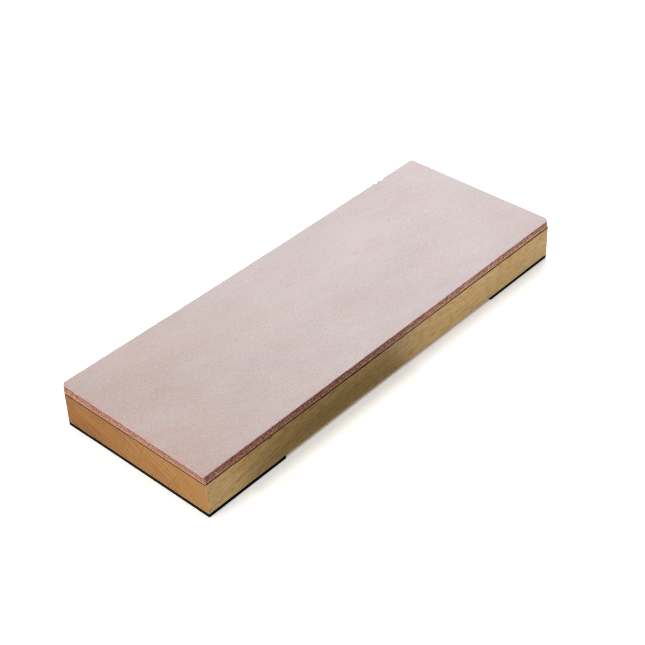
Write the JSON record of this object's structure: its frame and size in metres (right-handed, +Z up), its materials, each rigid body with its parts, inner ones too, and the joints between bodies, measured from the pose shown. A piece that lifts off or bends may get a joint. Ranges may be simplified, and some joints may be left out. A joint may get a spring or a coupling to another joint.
{
  "type": "leather strop",
  "caption": "Bench strop: a flat beech block with a thick leather facing glued on top and a thin rubber foot pad under each end, for honing carving blades.",
  "frame": {"origin": "centre of the rest plane, under the middle of the block, at the underside of the foot pads", "axes": "+X along the length from the near end to the far end, +Y across the width, +Z up through the block to the leather"},
  "size_m": [0.2032, 0.0762, 0.0199],
  "materials": {
    "beech": "planed and sanded beech, thin satin oil, short brown flecks along the grain, growth rings and rays on the ends",
    "leather": "matte suede nap on top, pale greyish pink; the cut edge is open terracotta fibre",
    "contact_cement": "dark olive-brown cement line, dull",
    "pad_rubber": "black rubber, fine matte grain",
    "pad_adhesive": "dark transfer adhesive, dull"
  },
  "bodies": {
    "root": {"beech_block": "beech", "leather_facing": "leather", "leather_glue_film": "contact_cement", "near_foot_pad": "pad_rubber", "far_foot_pad": "pad_rubber", "near_pad_adhesive": "pad_adhesive", "far_pad_adhesive": "pad_adhesive"}
  },
  "joints": []
}
